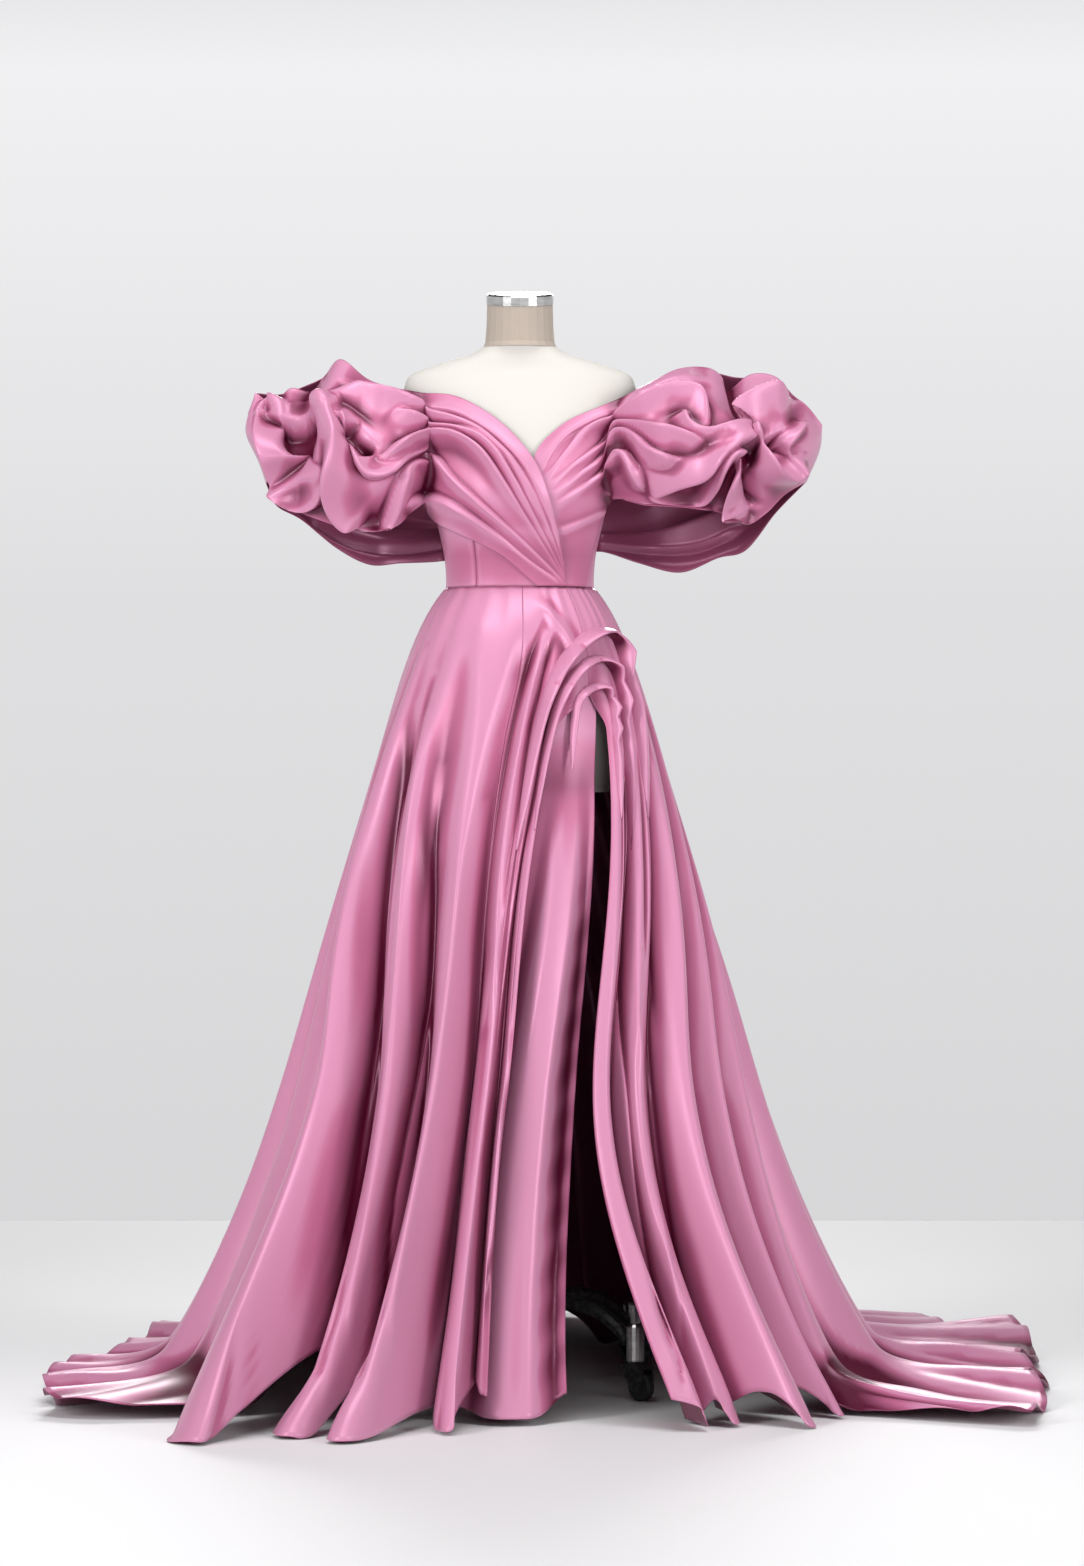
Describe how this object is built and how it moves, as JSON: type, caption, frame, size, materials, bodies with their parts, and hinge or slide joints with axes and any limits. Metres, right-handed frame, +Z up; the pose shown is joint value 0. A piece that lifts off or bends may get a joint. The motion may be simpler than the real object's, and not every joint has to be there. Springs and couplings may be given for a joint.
{
  "type": "a-line gown on dress form",
  "caption": "Full-length satin A-line gown with wrapped bodice, sculpted off-shoulder sleeves, thigh slit and train, on a limbless dress form with castered base.",
  "frame": {"origin": "on the floor, at the centre of the footprint of the gown with its train", "axes": "+X to the wearer's left, +Y towards the train, +Z up; the gown faces -Y"},
  "size_m": [1.652, 2.0534, 1.7921],
  "materials": {
    "satin": "heavy mauve-pink duchess satin, bright sheen on the outside",
    "linen": "cream linen cover of the form",
    "neck_linen": "natural linen band at the neck, bare",
    "steel": "brushed neck cap, pole and caster sockets",
    "iron": "dark cast hub, legs and forks",
    "rubber": "black caster wheels"
  },
  "bodies": {
    "gown_and_form": {"skirt_front_left": "satin", "skirt_back_left": "satin", "skirt_back_right": "satin", "skirt_side_front_right": "satin", "skirt_centre_front": "satin", "slit_underlay": "satin", "bodice_centre_front": "satin", "bodice_side_front_left": "satin", "bodice_back_left": "satin", "bodice_back_right": "satin", "bodice_side_front_right": "satin", "sleeve_right": "satin", "sleeve_left": "satin", "hip_roll_1": "satin", "hip_roll_2": "satin", "hip_roll_3": "satin", "form_torso": "linen", "form_neck": "neck_linen", "form_cap": "steel", "pole": "steel", "hub": "iron", "leg_front_left": "iron", "socket_front_left": "steel", "leg_back_left": "iron", "socket_back_left": "steel", "leg_back_right": "iron", "socket_back_right": "steel", "leg_front_right": "iron", "socket_front_right": "steel"},
    "caster_front_left": {"fork_front_left": "iron"},
    "roller_front_left": {"wheel_front_left": "rubber"},
    "caster_back_left": {"fork_back_left": "iron"},
    "roller_back_left": {"wheel_back_left": "rubber"},
    "caster_back_right": {"fork_back_right": "iron"},
    "roller_back_right": {"wheel_back_right": "rubber"},
    "caster_front_right": {"fork_front_right": "iron"},
    "roller_front_right": {"wheel_front_right": "rubber"}
  },
  "joints": [
    {"name": "swivel_front_left", "type": "hinge", "parent": "gown_and_form", "child": "caster_front_left", "pos_m": [0.12226, -0.42126, 0.055], "axis": [0, 0, 1], "continuous": true},
    {"name": "spin_front_left", "type": "hinge", "parent": "caster_front_left", "child": "roller_front_left", "pos_m": [0.13145, -0.43045, 0.024], "axis": [0.7071, 0.7071, 0], "continuous": true},
    {"name": "swivel_back_left", "type": "hinge", "parent": "gown_and_form", "child": "caster_back_left", "pos_m": [0.12226, -0.05074, 0.055], "axis": [0, 0, 1], "continuous": true},
    {"name": "spin_back_left", "type": "hinge", "parent": "caster_back_left", "child": "roller_back_left", "pos_m": [0.13145, -0.04155, 0.024], "axis": [-0.7071, 0.7071, 0], "continuous": true},
    {"name": "swivel_back_right", "type": "hinge", "parent": "gown_and_form", "child": "caster_back_right", "pos_m": [-0.24826, -0.05074, 0.055], "axis": [0, 0, 1], "continuous": true},
    {"name": "spin_back_right", "type": "hinge", "parent": "caster_back_right", "child": "roller_back_right", "pos_m": [-0.25745, -0.04155, 0.024], "axis": [-0.7071, -0.7071, 0], "continuous": true},
    {"name": "swivel_front_right", "type": "hinge", "parent": "gown_and_form", "child": "caster_front_right", "pos_m": [-0.24826, -0.42126, 0.055], "axis": [0, 0, 1], "continuous": true},
    {"name": "spin_front_right", "type": "hinge", "parent": "caster_front_right", "child": "roller_front_right", "pos_m": [-0.25745, -0.43045, 0.024], "axis": [0.7071, -0.7071, 0], "continuous": true}
  ]
}
